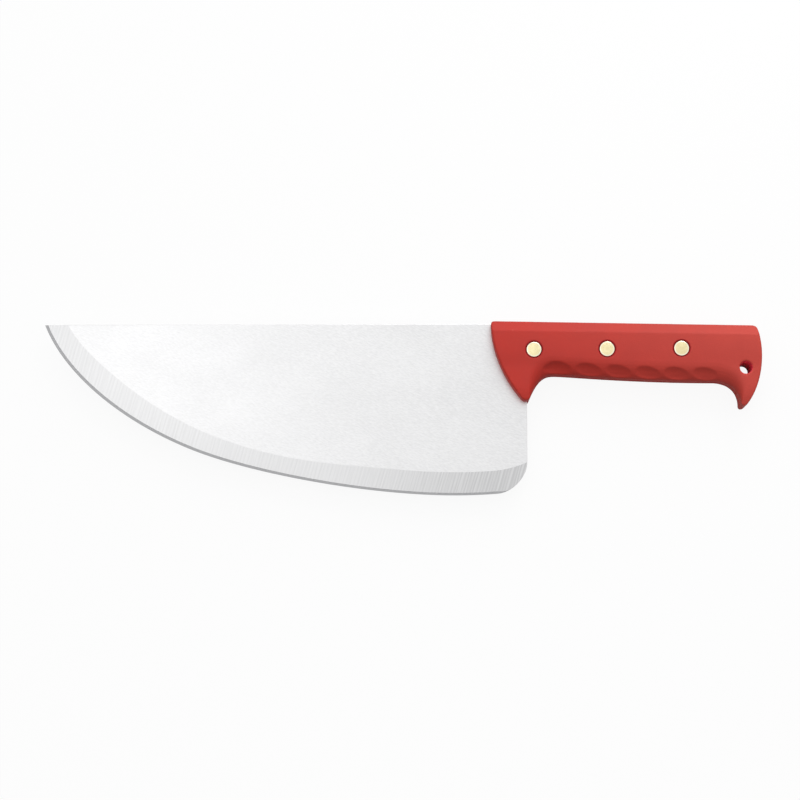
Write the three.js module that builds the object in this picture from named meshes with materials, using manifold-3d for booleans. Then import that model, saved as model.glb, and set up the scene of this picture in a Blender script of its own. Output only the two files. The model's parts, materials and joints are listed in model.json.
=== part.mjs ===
// A butcher's knife: a broad curved blade whose tang is riveted between two moulded handle scales.
// Millimetres, +Z up. The knife lies on its right side: the point is at -X, the butt at +X, the spine at +Y
// and the cutting edge at -Y. Outlines are drawn from one datum: x = 0 is the blade's back edge, y = 0 is
// the spine where it enters the handle, and z = 0 is the middle plane of the plate. The group moves the
// datum, so that the origin is under the middle of the knife, on the surface that it lies on.

import * as THREE from 'three';
import { mergeVertices } from 'three/addons/utils/BufferGeometryUtils.js';
import Module from 'manifold-3d';

// Blade
const BLADE_LENGTH = 255;
const BLADE_HEIGHT = 91.2;
const BLADE_THICKNESS = 2.5;
const SPINE_DROP = 0.6;
const POINT_ANGLE = 68;
const POINT_PULL = 28.4;
const SWEEP_FROM_POINT = 78.3;
const SWEEP_ABOVE_BELLY = 24.2;
const SWEEP_ANGLE = 21.9;
const SWEEP_PULL_IN = 40;
const SWEEP_PULL_OUT = 34.2;
const BELLY_FROM_HEEL = 37.8;
const BELLY_PULL = 46;
const HEEL_LENGTH = 16.6;
const HEEL_HEIGHT = 16.6;
const HEEL_RISE = 0.8;
const HEEL_PULL = 8;

// Grinds
const BEVEL_AT_POINT = 11.1;
const BEVEL_AT_SWEEP = 12.9;
const BEVEL_AT_BELLY = 9.9;
const BEVEL_AT_HEEL = 12.1;
const SWEEP_STATION = 45;
const BELLY_STATION = 150;
const HEEL_STATION = 215;
const EDGE_BEVEL_AT_POINT = 1.7;
const EDGE_BEVEL_AT_HEEL = 1.3;
const EDGE_BEVEL_THICKNESS = 0.6;
const EDGE_BEVEL_RUNOUT = 9;

// Tang
const TANG_END_WALL = 8.3;
const TANG_TOP_FRONT = 5.5;
const TANG_TOP_REAR = 7.5;
const TANG_BOTTOM_FRONT = 23.5;
const TANG_BOTTOM_REAR = 22;
const TANG_SHOULDER_COVER = 6.3;
const TANG_FILLET = 4;
const TANG_END_RADIUS = 5;
const SHOULDER_FILLET = 2;

// Handle outline
const HANDLE_THICKNESS = 20;
const FRONT_OVERLAP = 18.9;
const BUTT_REACH = 123.4;
const TOP_RISE = 0.7;
const TOP_FALL = 2.3;
const FRONT_CORNER_RADIUS = 1.8;
const BUTT_CORNER_RADIUS = 2.8;
const BUTT_TOP_INSET = 1.95;
const BUTT_BULGE_DROP = 17.6;
const GUARD_TIP_OVERLAP = 1;
const GUARD_DROP = 42.1;
const GUARD_TIP_WIDTH = 4.2;
const GRIP_FRONT_REACH = 14.5;
const GRIP_FRONT_DROP = 27.75;
const GRIP_REAR_FROM_BUTT = 26;
const GRIP_REAR_DROP = 31.2;
const HOOK_TIP_FROM_BUTT = 9.6;
const HOOK_DROP = 44.7;
const HOOK_TIP_WIDTH = 3.2;
const TIP_ROUNDNESS = 0.3;

// Handle curves: headings in degrees, and the tangent lengths at each curve's start and end
const FRONT_EDGE_PULLS = [12.9, 15.5];
const GUARD_FRONT_HEADING = -49.6;
const GUARD_TIP_PULLS = [1.9, 1.5];
const GUARD_BACK_HEADING = 66.9;
const GUARD_CURVE_PULLS = [8.9, 6.8];
const GRIP_FRONT_HEADING = -4;
const GRIP_PULLS = [25.5, 30.2];
const HOOK_CURVE_PULLS = [9, 8.6];
const HOOK_FRONT_HEADING = -86;
const HOOK_TIP_PULLS = [1.3, 1.8];
const HOOK_BACK_HEADING = 53;
const BUTT_LOW_PULLS = [8.9, 9.3];
const BUTT_TOP_PULLS = [5, 5];
const BUTT_TOP_HEADING = 102;

// Handle section: the two pulls shape the edge's section, as shares of its width and of its depth
const EDGE_ROUND = 0.8;
const EDGE_ROUND_LIMIT = 0.3;
const EDGE_WALL_PULL = new THREE.Vector2(0.05, 0.5);
const EDGE_FACE_PULL = new THREE.Vector2(0.6, 0);
const TOP_CHAMFER_HEIGHT = 5.3;
const TOP_CHAMFER_DEPTH = 3.3;
const GRIP_BEVEL_HEIGHT = 9;
const GRIP_BEVEL_DEPTH = 6;
const TIP_TAPER_DROP = 34;
const TIP_TAPER_RADIUS = 30;

// Scallops along the lower side of the grip
const SCALLOP_COUNT = 6;
const SCALLOP_FRONT_MARGIN = 1.3;
const SCALLOP_REAR_MARGIN = 4.4;
const SCALLOP_LENGTH = 13;
const SCALLOP_HEIGHT = 9.6;
const SCALLOP_DEPTH = 1.5;
const SCALLOP_ABOVE_EDGE = 4;
const SCALLOP_TILT = 46;
const SCALLOP_CAP_SHARE = 1 / 3;

// Hanging hole
const HANG_HOLE_FROM_BUTT = 8.6;
const HANG_HOLE_DROP = 24.6;
const HANG_HOLE_DIAMETER = 6.5;
const HANG_HOLE_ROUND = 0.7;

// Rivets
const RIVET_NAMES = ['front', 'middle', 'rear'];
const RIVET_FRONT_REACH = 3.5;
const RIVET_REAR_FROM_TANG_END = 22.2;
const RIVET_MIDDLE_SHIFT = -0.35;
const RIVET_FRONT_DROP = 15.1;
const RIVET_ROW_RISE = 0.6;
const RIVET_HEAD_DIAMETER = 8;
const RIVET_HEAD_THICKNESS = 1.6;
const RIVET_HEAD_CHAMFER = 0.35;
const RIVET_HEAD_RECESS = 0.15;
const RIVET_TUBE_DIAMETER = 5;
const RIVET_STEM_DIAMETER = 3.2;
const RIVET_TUBE_END_GAP = 1.2;
const RIVET_STEM_END_GAP = 4.5;
const RIVET_STEM_CHAMFER = 0.5;

// Clearances, each the gap between two neighbouring faces
const PARTING_GAP = 0.1;
const SLOT_FACE_CLEARANCE = 0.1;
const SLOT_EDGE_CLEARANCE = 0.25;
const RIVET_HOLE_CLEARANCE = 0.15;
const RIVET_HEAD_CLEARANCE = 0.4;
const RIVET_SEAT_CLEARANCE = 0.05;
const RIVET_STEM_CLEARANCE = 0.1;

// Facets
const EDGE_STEPS = 64;
const HEEL_STEPS = 10;
const FILLET_STEPS = 6;
const SECTION_STEPS = 6;
const CORNER_STEPS = 6;
const CURVE_STEPS = 14;
const GRIP_STEPS = 20;
const LIP_STEPS = 3;
const TAPER_STEPS = 8;
const ROUND_SIDES = 28;
const BALL_SIDES = 24;
const BALL_RINGS = 16;
const SEARCH_STEPS = 40;
const BEVEL_START_LIMIT = 0.2;
const WELD_TOLERANCE = 1e-4;

const HALF_PLATE = BLADE_THICKNESS / 2;
const HALF_HANDLE = HANDLE_THICKNESS / 2;
const HALF_EDGE = EDGE_BEVEL_THICKNESS / 2;
const OVERSHOOT = 5;

const wasm = await Module();
wasm.setup();

const steel = new THREE.MeshStandardMaterial({ color: 0xdcdddf, metalness: 1, roughness: 0.32 });
const plastic = new THREE.MeshStandardMaterial({ color: 0xbc483f, metalness: 0, roughness: 0.5 });
const brass = new THREE.MeshStandardMaterial({ color: 0xe9d79c, metalness: 1, roughness: 0.3 });

// Plane geometry helpers

function heading(degrees, length) {
  const angle = THREE.MathUtils.degToRad(degrees);
  return new THREE.Vector2(Math.cos(angle), Math.sin(angle)).multiplyScalar(length);
}

// A cubic curve from one point to another that leaves and arrives along the given headings, in degrees.
function sweep(from, leave, pullOut, to, arrive, pullIn) {
  const first = from.clone().add(heading(leave, pullOut));
  const second = to.clone().sub(heading(arrive, pullIn));
  return new THREE.CubicBezierCurve(from, first, second, to);
}

// A rounded corner that starts and ends one radius before and after the corner of three points.
function roundCorner(before, corner, after, radius) {
  const start = corner.clone().add(before.clone().sub(corner).setLength(radius));
  const end = corner.clone().add(after.clone().sub(corner).setLength(radius));
  return new THREE.QuadraticBezierCurve(start, corner, end);
}

// The unit normal on the left of each point of a closed outline, which points in if it runs anticlockwise.
function inwardNormals(outline) {
  return outline.map((point, i) => {
    const before = outline[(i + outline.length - 1) % outline.length];
    const after = outline[(i + 1) % outline.length];
    const into = point.clone().sub(before).normalize();
    const out = after.clone().sub(point).normalize();
    const along = into.add(out).normalize();
    return new THREE.Vector2(-along.y, along.x);
  });
}

function smooth(from, to, share) {
  return THREE.MathUtils.lerp(from, to, THREE.MathUtils.smoothstep(share, 0, 1));
}

// Solid helpers

// Joins closed loops of equal length into a skin and closes both ends with flat faces.
function skin(loops) {
  const count = loops[0].length;
  const positions = loops.flat().flatMap((point) => [point.x, point.y, point.z]);
  const indices = [];
  for (let row = 0; row + 1 < loops.length; row += 1) {
    for (let i = 0; i < count; i += 1) {
      const next = (i + 1) % count;
      const a = row * count + i;
      const b = row * count + next;
      indices.push(a, b, b + count, a, b + count, a + count);
    }
  }
  const last = (loops.length - 1) * count;
  for (const [a, b, c] of THREE.ShapeUtils.triangulateShape(loops[0], [])) {
    indices.push(c, b, a);
  }
  for (const [a, b, c] of THREE.ShapeUtils.triangulateShape(loops[loops.length - 1], [])) {
    indices.push(last + a, last + b, last + c);
  }
  const geometry = new THREE.BufferGeometry();
  geometry.setAttribute('position', new THREE.Float32BufferAttribute(positions, 3));
  geometry.setIndex(indices);
  return geometry;
}

// Welds a closed geometry and drops the triangles that the weld flattens.
function solid(geometry) {
  const bare = geometry.clone();
  bare.deleteAttribute('normal');
  bare.deleteAttribute('uv');
  const welded = mergeVertices(bare, WELD_TOLERANCE);
  const index = welded.index.array;
  const kept = [];
  for (let i = 0; i < index.length; i += 3) {
    const [a, b, c] = index.slice(i, i + 3);
    if (a !== b && b !== c && c !== a) {
      kept.push(a, b, c);
    }
  }
  const vertProperties = new Float32Array(welded.attributes.position.array);
  const triVerts = new Uint32Array(kept);
  return new wasm.Manifold(new wasm.Mesh({ numProp: 3, vertProperties, triVerts }));
}

function toGeometry(manifold) {
  const mesh = manifold.getMesh();
  const geometry = new THREE.BufferGeometry();
  geometry.setAttribute('position', new THREE.BufferAttribute(new Float32Array(mesh.vertProperties), 3));
  geometry.setIndex(new THREE.BufferAttribute(new Uint32Array(mesh.triVerts), 1));
  geometry.computeVertexNormals();
  return geometry;
}

// A straight prism of a closed outline between two heights.
function prism(outline, low, high) {
  const shape = new THREE.Shape(outline);
  const geometry = new THREE.ExtrudeGeometry(shape, { depth: high - low, bevelEnabled: false });
  return geometry.translate(0, 0, low);
}

// A round piece turned about Z from a profile of radius and height that starts and ends on the axis.
function turned(profile) {
  const points = profile.map(([radius, height]) => new THREE.Vector2(radius, height));
  return new THREE.LatheGeometry(points, ROUND_SIDES).rotateX(Math.PI / 2);
}

function round(diameter, low, high, x, y) {
  const geometry = new THREE.CylinderGeometry(diameter / 2, diameter / 2, high - low, ROUND_SIDES);
  return geometry.rotateX(Math.PI / 2).translate(x, y, (low + high) / 2);
}

function named(name, geometry, material) {
  const mesh = new THREE.Mesh(geometry, material.clone());
  mesh.name = name;
  return mesh;
}

// Blade and tang

const point = new THREE.Vector2(-BLADE_LENGTH, -SPINE_DROP);
const sweepEnd = new THREE.Vector2(SWEEP_FROM_POINT - BLADE_LENGTH, SWEEP_ABOVE_BELLY - BLADE_HEIGHT);
const bellyLow = new THREE.Vector2(-BELLY_FROM_HEEL, -BLADE_HEIGHT);
const heelFront = new THREE.Vector2(-HEEL_LENGTH, HEEL_RISE - BLADE_HEIGHT);
const heelTop = new THREE.Vector2(0, HEEL_RISE + HEEL_HEIGHT - BLADE_HEIGHT);
const hangHole = new THREE.Vector2(BUTT_REACH - HANG_HOLE_FROM_BUTT, -HANG_HOLE_DROP);
const tangEnd = hangHole.x - HANG_HOLE_DIAMETER / 2 - TANG_END_WALL;

function spineHeight(x) {
  return (SPINE_DROP * x) / BLADE_LENGTH;
}

// The cutting edge from the point, down the sweep, along the belly and up to the heel.
function cuttingEdge() {
  const edge = new THREE.CurvePath();
  edge.add(sweep(point, -POINT_ANGLE, POINT_PULL, sweepEnd, -SWEEP_ANGLE, SWEEP_PULL_IN));
  edge.add(sweep(sweepEnd, -SWEEP_ANGLE, SWEEP_PULL_OUT, bellyLow, 0, BELLY_PULL));
  const level = new THREE.Vector2((bellyLow.x + heelFront.x) / 2, bellyLow.y);
  edge.add(new THREE.QuadraticBezierCurve(bellyLow, level, heelFront));
  return edge;
}

// The width of the ground bevel at a distance along the cutting edge.
function bevelWidth(distance) {
  const stations = [0, SWEEP_STATION, BELLY_STATION, HEEL_STATION];
  const widths = [BEVEL_AT_POINT, BEVEL_AT_SWEEP, BEVEL_AT_BELLY, BEVEL_AT_HEEL];
  const next = stations.findIndex((station) => station > distance);
  if (next < 0) {
    return BEVEL_AT_HEEL;
  }
  const share = (distance - stations[next - 1]) / (stations[next] - stations[next - 1]);
  return smooth(widths[next - 1], widths[next], share);
}

// The line where the bevel meets the flat, opposite a share of the cutting edge.
function bevelLine(edge, share) {
  const tangent = edge.getTangentAt(share);
  const width = bevelWidth(share * edge.getLength());
  return edge.getPointAt(share).add(new THREE.Vector2(-tangent.y, tangent.x).multiplyScalar(width));
}

// The share of the cutting edge whose bevel line lies on the spine.
function bevelStart(edge) {
  let low = 0;
  let high = BEVEL_START_LIMIT;
  for (let i = 0; i < SEARCH_STEPS; i += 1) {
    const middle = (low + high) / 2;
    const candidate = bevelLine(edge, middle);
    if (candidate.y > spineHeight(candidate.x)) {
      low = middle;
    } else {
      high = middle;
    }
  }
  return high;
}

// The outline of the tang, from the blade's back edge round to the spine.
function tangOutline() {
  const bottomFront = new THREE.Vector2(0, -TANG_BOTTOM_FRONT);
  const shoulder = TANG_SHOULDER_COVER - FRONT_OVERLAP;
  const bottomRear = new THREE.Vector2(tangEnd, -TANG_BOTTOM_REAR);
  const topRear = new THREE.Vector2(tangEnd, -TANG_TOP_REAR);
  const topFront = new THREE.Vector2(shoulder, -TANG_TOP_FRONT);
  const spineEnd = new THREE.Vector2(shoulder, spineHeight(shoulder));
  const corners = [
    roundCorner(heelTop, bottomFront, bottomRear, TANG_FILLET),
    roundCorner(bottomFront, bottomRear, topRear, TANG_END_RADIUS),
    roundCorner(bottomRear, topRear, topFront, TANG_END_RADIUS),
    roundCorner(topRear, topFront, spineEnd, SHOULDER_FILLET),
  ];
  return [...corners.flatMap((corner) => corner.getPoints(FILLET_STEPS)), spineEnd];
}

// A station of the ground part of the plate. The edge bevel takes a share of the thickness that the ground
// bevel leaves.
function groundStation(rim, inner, half, edgeBevel, share) {
  const across = inner.clone().sub(rim).setLength(edgeBevel * share);
  return {
    rim: [rim, half * (1 - share)],
    micro: [rim.clone().add(across), half],
    inner: [inner, HALF_PLATE],
  };
}

// Every station round the plate: its outline, the line above the edge bevel and the line above the ground
// bevel, each with half the plate's thickness there.
function bladeStations() {
  const edge = cuttingEdge();
  const start = bevelStart(edge);
  const stations = [];
  for (let i = 0; i <= EDGE_STEPS; i += 1) {
    const share = i / EDGE_STEPS;
    const rim = edge.getPointAt(share);
    const inner = bevelLine(edge, start + (1 - start) * share);
    inner.y = Math.min(inner.y, spineHeight(inner.x));
    const edgeBevel = smooth(EDGE_BEVEL_AT_POINT, EDGE_BEVEL_AT_HEEL, share);
    stations.push(groundStation(rim, inner, HALF_EDGE, edgeBevel, 1));
  }
  const heel = sweep(heelFront, 0, HEEL_PULL, heelTop, 90, HEEL_PULL);
  const bevelEnd = bevelLine(edge, 1);
  const level = new THREE.Vector2(bevelEnd.x / 2, bevelEnd.y + HEEL_RISE);
  const bevelTail = new THREE.QuadraticBezierCurve(bevelEnd, level, heelTop);
  const widest = bevelEnd.distanceTo(heelFront);
  for (let i = 1; i <= HEEL_STEPS; i += 1) {
    const share = i / HEEL_STEPS;
    const rim = heel.getPointAt(share);
    const inner = bevelTail.getPoint(share);
    const half = THREE.MathUtils.lerp(HALF_PLATE, HALF_EDGE, inner.distanceTo(rim) / widest);
    const honed = smooth(1, 0, share * heel.getLength() / EDGE_BEVEL_RUNOUT);
    stations.push(groundStation(rim, inner, half, EDGE_BEVEL_AT_HEEL, honed));
  }
  for (const outer of tangOutline()) {
    stations.push({ rim: [outer, HALF_PLATE], micro: [outer, HALF_PLATE], inner: [outer, HALF_PLATE] });
  }
  return stations;
}

function bladeLoop(stations, line, side) {
  return stations.map((station) => {
    const [at, half] = station[line];
    return new THREE.Vector3(at.x, at.y, side * half);
  });
}

// The three rivets stand in a row along the tang.
function rivetPlaces() {
  const rear = tangEnd - RIVET_REAR_FROM_TANG_END;
  const middle = (RIVET_FRONT_REACH + rear) / 2 + RIVET_MIDDLE_SHIFT;
  return [RIVET_FRONT_REACH, middle, rear].map((x) => {
    const share = (x - RIVET_FRONT_REACH) / (rear - RIVET_FRONT_REACH);
    return new THREE.Vector2(x, RIVET_ROW_RISE * share - RIVET_FRONT_DROP);
  });
}

function rivetHoles(diameter, low, high) {
  return rivetPlaces().map((place) => solid(round(diameter, low, high, place.x, place.y)));
}

function makeBlade(stations) {
  const below = ['inner', 'micro', 'rim'].map((line) => bladeLoop(stations, line, -1));
  const above = ['rim', 'micro', 'inner'].map((line) => bladeLoop(stations, line, 1));
  let plate = solid(skin([...below, ...above]));
  const holeDiameter = RIVET_TUBE_DIAMETER + 2 * RIVET_HOLE_CLEARANCE;
  for (const hole of rivetHoles(holeDiameter, -BLADE_THICKNESS, BLADE_THICKNESS)) {
    plate = plate.subtract(hole);
  }
  return named('blade', toGeometry(plate), steel);
}

// Handle scales

const gripFront = new THREE.Vector2(GRIP_FRONT_REACH, -GRIP_FRONT_DROP);
const gripRear = new THREE.Vector2(BUTT_REACH - GRIP_REAR_FROM_BUTT, -GRIP_REAR_DROP);
const [gripPullOut, gripPullIn] = GRIP_PULLS;
const gripEdge = sweep(gripFront, GRIP_FRONT_HEADING, gripPullOut, gripRear, 0, gripPullIn);

// The two points where the rounded end of the guard or of the hook meets its sides.
function tipShoulders(tip, width) {
  const base = tip.clone().add(new THREE.Vector2(0, width * TIP_ROUNDNESS));
  const half = new THREE.Vector2(width / 2, 0);
  return [base.clone().sub(half), base.clone().add(half)];
}

function stretch(from, leave, pulls, to, arrive, steps, bevel = [0, 0]) {
  return { curve: sweep(from, leave, pulls[0], to, arrive, pulls[1]), steps, bevel };
}

// The outline runs anticlockwise from the butt along the top. Each stretch has its count of steps and how
// far its edge takes the grip's deep bevel, at its start and its end: 0 is a rounded edge and 1 is the
// full bevel.
function handleStretches() {
  const topFront = new THREE.Vector2(-FRONT_OVERLAP, TOP_RISE);
  const topRear = new THREE.Vector2(BUTT_REACH - BUTT_TOP_INSET, TOP_RISE - TOP_FALL);
  const bulge = new THREE.Vector2(BUTT_REACH, -BUTT_BULGE_DROP);
  const frontLow = new THREE.Vector2(-FRONT_OVERLAP, TOP_RISE - 2 * FRONT_CORNER_RADIUS);
  const buttCorner = roundCorner(bulge, topRear, topFront, BUTT_CORNER_RADIUS);
  const frontCorner = roundCorner(topRear, topFront, frontLow, FRONT_CORNER_RADIUS);
  const topLine = new THREE.LineCurve(buttCorner.v2, frontCorner.v0);
  const guardTip = new THREE.Vector2(-GUARD_TIP_OVERLAP, -GUARD_DROP);
  const [guardFront, guardBack] = tipShoulders(guardTip, GUARD_TIP_WIDTH);
  const hookTip = new THREE.Vector2(BUTT_REACH - HOOK_TIP_FROM_BUTT, -HOOK_DROP);
  const [hookFront, hookBack] = tipShoulders(hookTip, HOOK_TIP_WIDTH);
  return [
    { curve: buttCorner, steps: CORNER_STEPS, bevel: [0, 0] },
    { curve: topLine, steps: 1, bevel: [0, 0] },
    { curve: frontCorner, steps: CORNER_STEPS, bevel: [0, 0] },
    stretch(frontCorner.v2, -90, FRONT_EDGE_PULLS, guardFront, GUARD_FRONT_HEADING, CURVE_STEPS),
    stretch(guardFront, GUARD_FRONT_HEADING, GUARD_TIP_PULLS, guardBack, GUARD_BACK_HEADING, CORNER_STEPS),
    stretch(
      guardBack,
      GUARD_BACK_HEADING,
      GUARD_CURVE_PULLS,
      gripFront,
      GRIP_FRONT_HEADING,
      CURVE_STEPS,
      [0, 1],
    ),
    { curve: gripEdge, steps: GRIP_STEPS, bevel: [1, 1] },
    stretch(gripRear, 0, HOOK_CURVE_PULLS, hookFront, HOOK_FRONT_HEADING, CURVE_STEPS, [1, 0]),
    stretch(hookFront, HOOK_FRONT_HEADING, HOOK_TIP_PULLS, hookBack, HOOK_BACK_HEADING, CORNER_STEPS),
    stretch(hookBack, HOOK_BACK_HEADING, BUTT_LOW_PULLS, bulge, 90, CURVE_STEPS),
    stretch(bulge, 90, BUTT_TOP_PULLS, buttCorner.v0, BUTT_TOP_HEADING, CORNER_STEPS),
  ];
}

// The outline of the handle with, at each point, the width and depth of its rounded or bevelled edge. Where
// the bevel runs out along the guard and the hook, it narrows sooner than it gets shallow.
function handleOutline() {
  const edgeRound = Math.min(EDGE_ROUND, EDGE_ROUND_LIMIT * Math.min(GUARD_TIP_WIDTH, HOOK_TIP_WIDTH));
  const stations = [];
  for (const { curve, steps, bevel } of handleStretches()) {
    for (let i = 0; i < steps; i += 1) {
      const share = i / steps;
      const deep = Math.sin(THREE.MathUtils.lerp(bevel[0], bevel[1], share) * Math.PI / 2);
      stations.push({
        at: curve.getPoint(share),
        width: THREE.MathUtils.lerp(edgeRound, GRIP_BEVEL_HEIGHT, deep),
        depth: THREE.MathUtils.lerp(edgeRound, GRIP_BEVEL_DEPTH, Math.cbrt(deep)),
      });
    }
  }
  return stations;
}

// The section of the edge, from the wall to the face: shares of its width and of its depth.
const edgeSection = new THREE.CubicBezierCurve(
  new THREE.Vector2(0, 1),
  EDGE_WALL_PULL,
  EDGE_FACE_PULL,
  new THREE.Vector2(1, 0),
);

function scaleBody(stations) {
  const outline = stations.map((station) => station.at);
  const normals = inwardNormals(outline);
  const loops = [outline.map((at) => new THREE.Vector3(at.x, at.y, PARTING_GAP / 2))];
  for (const share of edgeSection.getPoints(SECTION_STEPS)) {
    loops.push(stations.map((station, i) => {
      const at = station.at.clone().addScaledVector(normals[i], share.x * station.width);
      return new THREE.Vector3(at.x, at.y, HALF_HANDLE - share.y * station.depth);
    }));
  }
  return solid(skin(loops));
}

// A cutter as long as the handle, from X = 0, whose section is drawn in Y and Z.
function alongHandle(section) {
  const depth = BUTT_REACH + FRONT_OVERLAP + 2 * OVERSHOOT;
  const cutter = new THREE.ExtrudeGeometry(new THREE.Shape(section), { depth, bevelEnabled: false });
  return cutter.rotateY(Math.PI / 2).rotateX(Math.PI / 2);
}

// The wedge that cuts the long chamfer along the top of the handle.
function topChamfer() {
  const slope = Math.atan2(TOP_FALL, BUTT_REACH + FRONT_OVERLAP);
  const rise = OVERSHOOT * TOP_CHAMFER_HEIGHT / TOP_CHAMFER_DEPTH;
  const wedge = alongHandle([
    new THREE.Vector2(-TOP_CHAMFER_HEIGHT - rise, HALF_HANDLE + OVERSHOOT),
    new THREE.Vector2(rise, HALF_HANDLE - TOP_CHAMFER_DEPTH - OVERSHOOT),
    new THREE.Vector2(rise, HALF_HANDLE + OVERSHOOT),
  ]);
  return wedge.rotateZ(-slope).translate(-FRONT_OVERLAP - OVERSHOOT, TOP_RISE, 0);
}

// The cutter that thins the guard and the hook towards their tips, in a curve that leaves the face smoothly.
function tipTaper() {
  const reach = Math.max(GUARD_DROP, HOOK_DROP) - TIP_TAPER_DROP + OVERSHOOT;
  const section = [new THREE.Vector2(-TIP_TAPER_DROP, HALF_HANDLE + OVERSHOOT)];
  for (let i = 0; i <= TAPER_STEPS; i += 1) {
    const below = reach * i / TAPER_STEPS;
    const cut = below ** 2 / (2 * TIP_TAPER_RADIUS);
    section.push(new THREE.Vector2(-TIP_TAPER_DROP - below, HALF_HANDLE - cut));
  }
  section.push(new THREE.Vector2(-TIP_TAPER_DROP - reach, HALF_HANDLE + OVERSHOOT));
  return alongHandle(section).translate(-FRONT_OVERLAP - OVERSHOOT, 0, 0);
}

// How deep the grip's bevel is below the face, at a height above its lower edge.
function bevelDepth(height) {
  let low = 0;
  let high = 1;
  for (let i = 0; i < SEARCH_STEPS; i += 1) {
    const middle = (low + high) / 2;
    if (edgeSection.getPoint(middle).x * GRIP_BEVEL_HEIGHT < height) {
      low = middle;
    } else {
      high = middle;
    }
  }
  return edgeSection.getPoint(high).y * GRIP_BEVEL_DEPTH;
}

// One ball-shaped cutter for each scallop, tilted to the face and sunk by the scallop's depth into the grip's
// bevel.
function scallopCutters() {
  const firstX = gripFront.x + SCALLOP_FRONT_MARGIN;
  const lastX = gripRear.x - SCALLOP_REAR_MARGIN;
  const mouth = Math.sqrt(1 - (1 - SCALLOP_CAP_SHARE) ** 2);
  const ballHeight = SCALLOP_DEPTH / SCALLOP_CAP_SHARE;
  const depth = bevelDepth(SCALLOP_ABOVE_EDGE);
  const cutters = [];
  for (let i = 0; i < SCALLOP_COUNT; i += 1) {
    const share = i / (SCALLOP_COUNT - 1);
    const x = THREE.MathUtils.lerp(firstX, lastX, share);
    const along = THREE.MathUtils.clamp((x - gripFront.x) / (gripRear.x - gripFront.x), 0, 1);
    const y = gripEdge.getPointAt(along).y + SCALLOP_ABOVE_EDGE;
    const ball = new THREE.SphereGeometry(1, BALL_SIDES, BALL_RINGS).rotateX(Math.PI / 2);
    ball.scale(SCALLOP_LENGTH / 2 / mouth, SCALLOP_HEIGHT / 2 / mouth, ballHeight);
    ball.translate(0, 0, ballHeight - SCALLOP_DEPTH);
    ball.rotateX(THREE.MathUtils.degToRad(SCALLOP_TILT));
    cutters.push(solid(ball.translate(x, y, HALF_HANDLE - depth)));
  }
  return cutters;
}

// The slot that takes this scale's half of the blade and tang.
function plateSlot(stations) {
  const outline = stations.map((station) => station.rim[0]);
  const normals = inwardNormals(outline);
  const grown = outline.map((at, i) => at.clone().addScaledVector(normals[i], -SLOT_EDGE_CLEARANCE));
  return solid(prism(grown, -OVERSHOOT, HALF_PLATE + SLOT_FACE_CLEARANCE));
}

// The hanging hole, with the rounded lip that it has at the outer face.
function hangingHole() {
  const radius = HANG_HOLE_DIAMETER / 2;
  const lip = new THREE.QuadraticBezierCurve(
    new THREE.Vector2(radius, HALF_HANDLE - HANG_HOLE_ROUND),
    new THREE.Vector2(radius, HALF_HANDLE),
    new THREE.Vector2(radius + HANG_HOLE_ROUND, HALF_HANDLE),
  );
  const profile = [
    [0, -OVERSHOOT],
    [radius, -OVERSHOOT],
    ...lip.getPoints(LIP_STEPS).map((at) => [at.x, at.y]),
    [radius + HANG_HOLE_ROUND, HALF_HANDLE + OVERSHOOT],
    [0, HALF_HANDLE + OVERSHOOT],
  ];
  return solid(turned(profile).translate(hangHole.x, hangHole.y, 0));
}

const headSeat = HALF_HANDLE - RIVET_HEAD_RECESS - RIVET_HEAD_THICKNESS;

function makeScaleGeometry(blade) {
  let scale = scaleBody(handleOutline());
  const headHole = RIVET_HEAD_DIAMETER + 2 * RIVET_HEAD_CLEARANCE;
  const tubeHole = RIVET_TUBE_DIAMETER + 2 * RIVET_HOLE_CLEARANCE;
  const cutters = [
    solid(topChamfer()),
    solid(tipTaper()),
    ...scallopCutters(),
    plateSlot(blade),
    hangingHole(),
    ...rivetHoles(headHole, headSeat - RIVET_SEAT_CLEARANCE, HALF_HANDLE + OVERSHOOT),
    ...rivetHoles(tubeHole, -OVERSHOOT, HALF_HANDLE),
  ];
  for (const cutter of cutters) {
    scale = scale.subtract(cutter);
  }
  return toGeometry(scale);
}

// Rivets

// The half with the solid stem. Its head is at the top and its stem points down.
function rivetStem() {
  const head = RIVET_HEAD_DIAMETER / 2;
  const stem = RIVET_STEM_DIAMETER / 2;
  const top = HALF_HANDLE - RIVET_HEAD_RECESS;
  const tip = RIVET_STEM_END_GAP - headSeat;
  return turned([
    [0, tip],
    [stem - RIVET_STEM_CHAMFER, tip],
    [stem, tip + RIVET_STEM_CHAMFER],
    [stem, headSeat],
    [head, headSeat],
    [head, top - RIVET_HEAD_CHAMFER],
    [head - RIVET_HEAD_CHAMFER, top],
    [0, top],
  ]);
}

// The half with the tube that the stem is pressed into. Its head is at the bottom and its tube points up.
function rivetSocket() {
  const head = RIVET_HEAD_DIAMETER / 2;
  const tube = RIVET_TUBE_DIAMETER / 2;
  const bore = RIVET_STEM_DIAMETER / 2 + RIVET_STEM_CLEARANCE;
  const bottom = -HALF_HANDLE + RIVET_HEAD_RECESS;
  const end = headSeat - RIVET_TUBE_END_GAP;
  return turned([
    [0, bottom],
    [head - RIVET_HEAD_CHAMFER, bottom],
    [head, bottom + RIVET_HEAD_CHAMFER],
    [head, -headSeat],
    [tube, -headSeat],
    [tube, end],
    [bore, end],
    [bore, -headSeat],
    [0, -headSeat],
  ]);
}

function makeRivet(name, place) {
  const rivet = new THREE.Group();
  rivet.add(named(`${name}_rivet_stem`, toGeometry(solid(rivetStem())), brass));
  rivet.add(named(`${name}_rivet_socket`, toGeometry(solid(rivetSocket())), brass));
  rivet.position.set(place.x, place.y, 0);
  return rivet;
}

// Assembly

const stations = bladeStations();
const knife = new THREE.Group();
knife.add(makeBlade(stations));

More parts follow.
